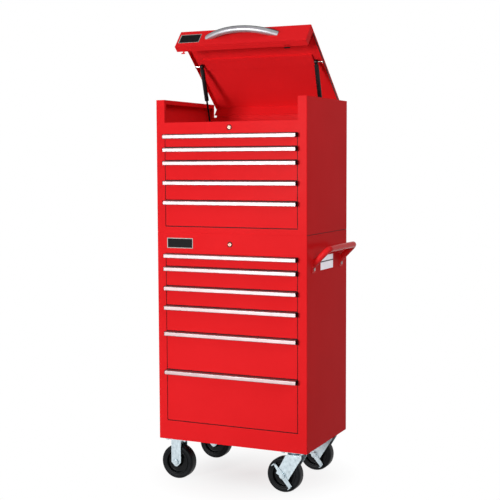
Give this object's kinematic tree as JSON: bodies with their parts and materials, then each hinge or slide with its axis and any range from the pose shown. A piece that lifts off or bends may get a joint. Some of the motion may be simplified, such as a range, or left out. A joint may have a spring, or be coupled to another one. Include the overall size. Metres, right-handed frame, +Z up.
{
  "type": "tool chest on roll cabinet",
  "caption": "Red steel tool chest with a lifting lid on a matching roll cabinet with full-width drawer pulls, side handle and casters.",
  "frame": {"origin": "on the floor under the middle of the cabinet footprint", "axes": "+Z up, +X towards the side handle, drawers open towards -Y"},
  "size_m": [0.7365, 0.5084, 1.8632],
  "materials": {
    "red_paint": "gloss",
    "aluminium": "satin",
    "zinc_steel": "zinc plated",
    "black_rubber": "satin",
    "black_steel": "satin",
    "black_plastic": "matte",
    "chrome": "polished"
  },
  "bodies": {
    "body": {"cab_shell": "red_paint", "cab_pans": "red_paint", "chest_shell": "red_paint", "chest_pans": "red_paint", "slide_rails": "zinc_steel", "hinge_leaf": "red_paint", "strut_brackets": "zinc_steel", "lock_bodies": "chrome", "cab_badge": "black_plastic", "side_handle": "red_paint", "rigid_forks": "zinc_steel", "swivel_plates": "zinc_steel"},
    "lid": {"lid": "red_paint", "lid_handle": "aluminium", "lid_fittings": "black_plastic"},
    "strut_rods": {"strut_rods": "black_steel"},
    "strut_cylinders": {"strut_cylinders": "black_steel"},
    "cab_drawer_1": {"cab_drawer_1": "red_paint", "cab_pull_1": "aluminium"},
    "cab_runner_1": {"cab_runner_1": "zinc_steel"},
    "cab_drawer_2": {"cab_drawer_2": "red_paint", "cab_pull_2": "aluminium"},
    "cab_runner_2": {"cab_runner_2": "zinc_steel"},
    "cab_drawer_3": {"cab_drawer_3": "red_paint", "cab_pull_3": "aluminium"},
    "cab_runner_3": {"cab_runner_3": "zinc_steel"},
    "cab_drawer_4": {"cab_drawer_4": "red_paint", "cab_pull_4": "aluminium"},
    "cab_runner_4": {"cab_runner_4": "zinc_steel"},
    "cab_drawer_5": {"cab_drawer_5": "red_paint", "cab_pull_5": "aluminium"},
    "cab_runner_5": {"cab_runner_5": "zinc_steel"},
    "cab_drawer_6": {"cab_drawer_6": "red_paint", "cab_pull_6": "aluminium"},
    "cab_runner_6": {"cab_runner_6": "zinc_steel"},
    "chest_drawer_1": {"chest_drawer_1": "red_paint", "chest_pull_1": "aluminium"},
    "chest_runner_1": {"chest_runner_1": "zinc_steel"},
    "chest_drawer_2": {"chest_drawer_2": "red_paint", "chest_pull_2": "aluminium"},
    "chest_runner_2": {"chest_runner_2": "zinc_steel"},
    "chest_drawer_3": {"chest_drawer_3": "red_paint", "chest_pull_3": "aluminium"},
    "chest_runner_3": {"chest_runner_3": "zinc_steel"},
    "chest_drawer_4": {"chest_drawer_4": "red_paint", "chest_pull_4": "aluminium"},
    "chest_runner_4": {"chest_runner_4": "zinc_steel"},
    "chest_drawer_5": {"chest_drawer_5": "red_paint", "chest_pull_5": "aluminium"},
    "chest_runner_5": {"chest_runner_5": "zinc_steel"},
    "chest_lock": {"chest_lock_core": "chrome"},
    "cab_lock": {"cab_lock_core": "chrome"},
    "fork_front": {"swivel_fork_front": "zinc_steel"},
    "wheel_swivel_front": {"wheel_swivel_front": "black_rubber"},
    "wheel_rigid_front": {"wheel_rigid_front": "black_rubber"},
    "brake_front": {"brake_front": "zinc_steel"},
    "fork_rear": {"swivel_fork_rear": "zinc_steel"},
    "wheel_swivel_rear": {"wheel_swivel_rear": "black_rubber"},
    "wheel_rigid_rear": {"wheel_rigid_rear": "black_rubber"},
    "brake_rear": {"brake_rear": "zinc_steel"}
  },
  "joints": [
    {"name": "lid_hinge", "type": "hinge", "parent": "body", "child": "lid", "pos_m": [0, 0.2295, 1.5165], "axis": [1, 0, 0], "range_deg": [0, 40.9]},
    {"name": "strut_rod_hinge", "type": "hinge", "parent": "body", "child": "strut_rods", "pos_m": [0, 0.133, 1.446], "axis": [1, 0, 0], "range_deg": [0, 40.3]},
    {"name": "strut_cylinder_slide", "type": "slide", "parent": "strut_rods", "child": "strut_cylinders", "axis": [0, -0.296, 0.9552], "range_m": [-0.0838, 0]},
    {"name": "cab_drawer_1_slide", "type": "slide", "parent": "body", "child": "cab_drawer_1", "axis": [0, -1, 0], "range_m": [0, 0.39]},
    {"name": "cab_runner_1_slide", "type": "slide", "parent": "body", "child": "cab_runner_1", "axis": [0, -1, 0], "range_m": [0, 0.195]},
    {"name": "cab_drawer_2_slide", "type": "slide", "parent": "body", "child": "cab_drawer_2", "axis": [0, -1, 0], "range_m": [0, 0.39]},
    {"name": "cab_runner_2_slide", "type": "slide", "parent": "body", "child": "cab_runner_2", "axis": [0, -1, 0], "range_m": [0, 0.195]},
    {"name": "cab_drawer_3_slide", "type": "slide", "parent": "body", "child": "cab_drawer_3", "axis": [0, -1, 0], "range_m": [0, 0.39]},
    {"name": "cab_runner_3_slide", "type": "slide", "parent": "body", "child": "cab_runner_3", "axis": [0, -1, 0], "range_m": [0, 0.195]},
    {"name": "cab_drawer_4_slide", "type": "slide", "parent": "body", "child": "cab_drawer_4", "axis": [0, -1, 0], "range_m": [0, 0.39]},
    {"name": "cab_runner_4_slide", "type": "slide", "parent": "body", "child": "cab_runner_4", "axis": [0, -1, 0], "range_m": [0, 0.195]},
    {"name": "cab_drawer_5_slide", "type": "slide", "parent": "body", "child": "cab_drawer_5", "axis": [0, -1, 0], "range_m": [0, 0.39]},
    {"name": "cab_runner_5_slide", "type": "slide", "parent": "body", "child": "cab_runner_5", "axis": [0, -1, 0], "range_m": [0, 0.195]},
    {"name": "cab_drawer_6_slide", "type": "slide", "parent": "body", "child": "cab_drawer_6", "axis": [0, -1, 0], "range_m": [0, 0.39]},
    {"name": "cab_runner_6_slide", "type": "slide", "parent": "body", "child": "cab_runner_6", "axis": [0, -1, 0], "range_m": [0, 0.195]},
    {"name": "chest_drawer_1_slide", "type": "slide", "parent": "body", "child": "chest_drawer_1", "axis": [0, -1, 0], "range_m": [0, 0.39]},
    {"name": "chest_runner_1_slide", "type": "slide", "parent": "body", "child": "chest_runner_1", "axis": [0, -1, 0], "range_m": [0, 0.195]},
    {"name": "chest_drawer_2_slide", "type": "slide", "parent": "body", "child": "chest_drawer_2", "axis": [0, -1, 0], "range_m": [0, 0.39]},
    {"name": "chest_runner_2_slide", "type": "slide", "parent": "body", "child": "chest_runner_2", "axis": [0, -1, 0], "range_m": [0, 0.195]},
    {"name": "chest_drawer_3_slide", "type": "slide", "parent": "body", "child": "chest_drawer_3", "axis": [0, -1, 0], "range_m": [0, 0.39]},
    {"name": "chest_runner_3_slide", "type": "slide", "parent": "body", "child": "chest_runner_3", "axis": [0, -1, 0], "range_m": [0, 0.195]},
    {"name": "chest_drawer_4_slide", "type": "slide", "parent": "body", "child": "chest_drawer_4", "axis": [0, -1, 0], "range_m": [0, 0.39]},
    {"name": "chest_runner_4_slide", "type": "slide", "parent": "body", "child": "chest_runner_4", "axis": [0, -1, 0], "range_m": [0, 0.195]},
    {"name": "chest_drawer_5_slide", "type": "slide", "parent": "body", "child": "chest_drawer_5", "axis": [0, -1, 0], "range_m": [0, 0.39]},
    {"name": "chest_runner_5_slide", "type": "slide", "parent": "body", "child": "chest_runner_5", "axis": [0, -1, 0], "range_m": [0, 0.195]},
    {"name": "chest_lock_turn", "type": "hinge", "parent": "body", "child": "chest_lock", "pos_m": [0, -0.226, 1.452], "axis": [0, -1, 0], "range_deg": [0, 90]},
    {"name": "cab_lock_turn", "type": "hinge", "parent": "body", "child": "cab_lock", "pos_m": [0, -0.226, 0.9872], "axis": [0, -1, 0], "range_deg": [0, 90]},
    {"name": "swivel_front", "type": "hinge", "parent": "body", "child": "fork_front", "pos_m": [0.262, -0.182, 0], "axis": [0, 0, 1], "continuous": true},
    {"name": "wheel_swivel_front_spin", "type": "hinge", "parent": "fork_front", "child": "wheel_swivel_front", "pos_m": [0.22, -0.182, 0.071], "axis": [0, 1, 0], "continuous": true},
    {"name": "wheel_rigid_front_spin", "type": "hinge", "parent": "body", "child": "wheel_rigid_front", "pos_m": [-0.261, -0.182, 0.071], "axis": [0, 1, 0], "continuous": true},
    {"name": "brake_front_press", "type": "hinge", "parent": "fork_front", "child": "brake_front", "pos_m": [0.22, -0.182, 0.071], "axis": [0, 1, 0], "range_deg": [-15, 0]},
    {"name": "swivel_rear", "type": "hinge", "parent": "body", "child": "fork_rear", "pos_m": [0.262, 0.164, 0], "axis": [0, 0, 1], "continuous": true},
    {"name": "wheel_swivel_rear_spin", "type": "hinge", "parent": "fork_rear", "child": "wheel_swivel_rear", "pos_m": [0.22, 0.164, 0.071], "axis": [0, 1, 0], "continuous": true},
    {"name": "wheel_rigid_rear_spin", "type": "hinge", "parent": "body", "child": "wheel_rigid_rear", "pos_m": [-0.261, 0.164, 0.071], "axis": [0, 1, 0], "continuous": true},
    {"name": "brake_rear_press", "type": "hinge", "parent": "fork_rear", "child": "brake_rear", "pos_m": [0.22, 0.164, 0.071], "axis": [0, 1, 0], "range_deg": [-15, 0]}
  ],
  "couplings": [
    {"joint": "strut_rod_hinge", "follows": "lid_hinge", "ratio": 0.9809},
    {"joint": "strut_cylinder_slide", "follows": "lid_hinge", "m_per_rad": -0.11702},
    {"joint": "cab_runner_1_slide", "follows": "cab_drawer_1_slide", "ratio": 0.5},
    {"joint": "cab_runner_2_slide", "follows": "cab_drawer_2_slide", "ratio": 0.5},
    {"joint": "cab_runner_3_slide", "follows": "cab_drawer_3_slide", "ratio": 0.5},
    {"joint": "cab_runner_4_slide", "follows": "cab_drawer_4_slide", "ratio": 0.5},
    {"joint": "cab_runner_5_slide", "follows": "cab_drawer_5_slide", "ratio": 0.5},
    {"joint": "cab_runner_6_slide", "follows": "cab_drawer_6_slide", "ratio": 0.5},
    {"joint": "chest_runner_1_slide", "follows": "chest_drawer_1_slide", "ratio": 0.5},
    {"joint": "chest_runner_2_slide", "follows": "chest_drawer_2_slide", "ratio": 0.5},
    {"joint": "chest_runner_3_slide", "follows": "chest_drawer_3_slide", "ratio": 0.5},
    {"joint": "chest_runner_4_slide", "follows": "chest_drawer_4_slide", "ratio": 0.5},
    {"joint": "chest_runner_5_slide", "follows": "chest_drawer_5_slide", "ratio": 0.5}
  ]
}
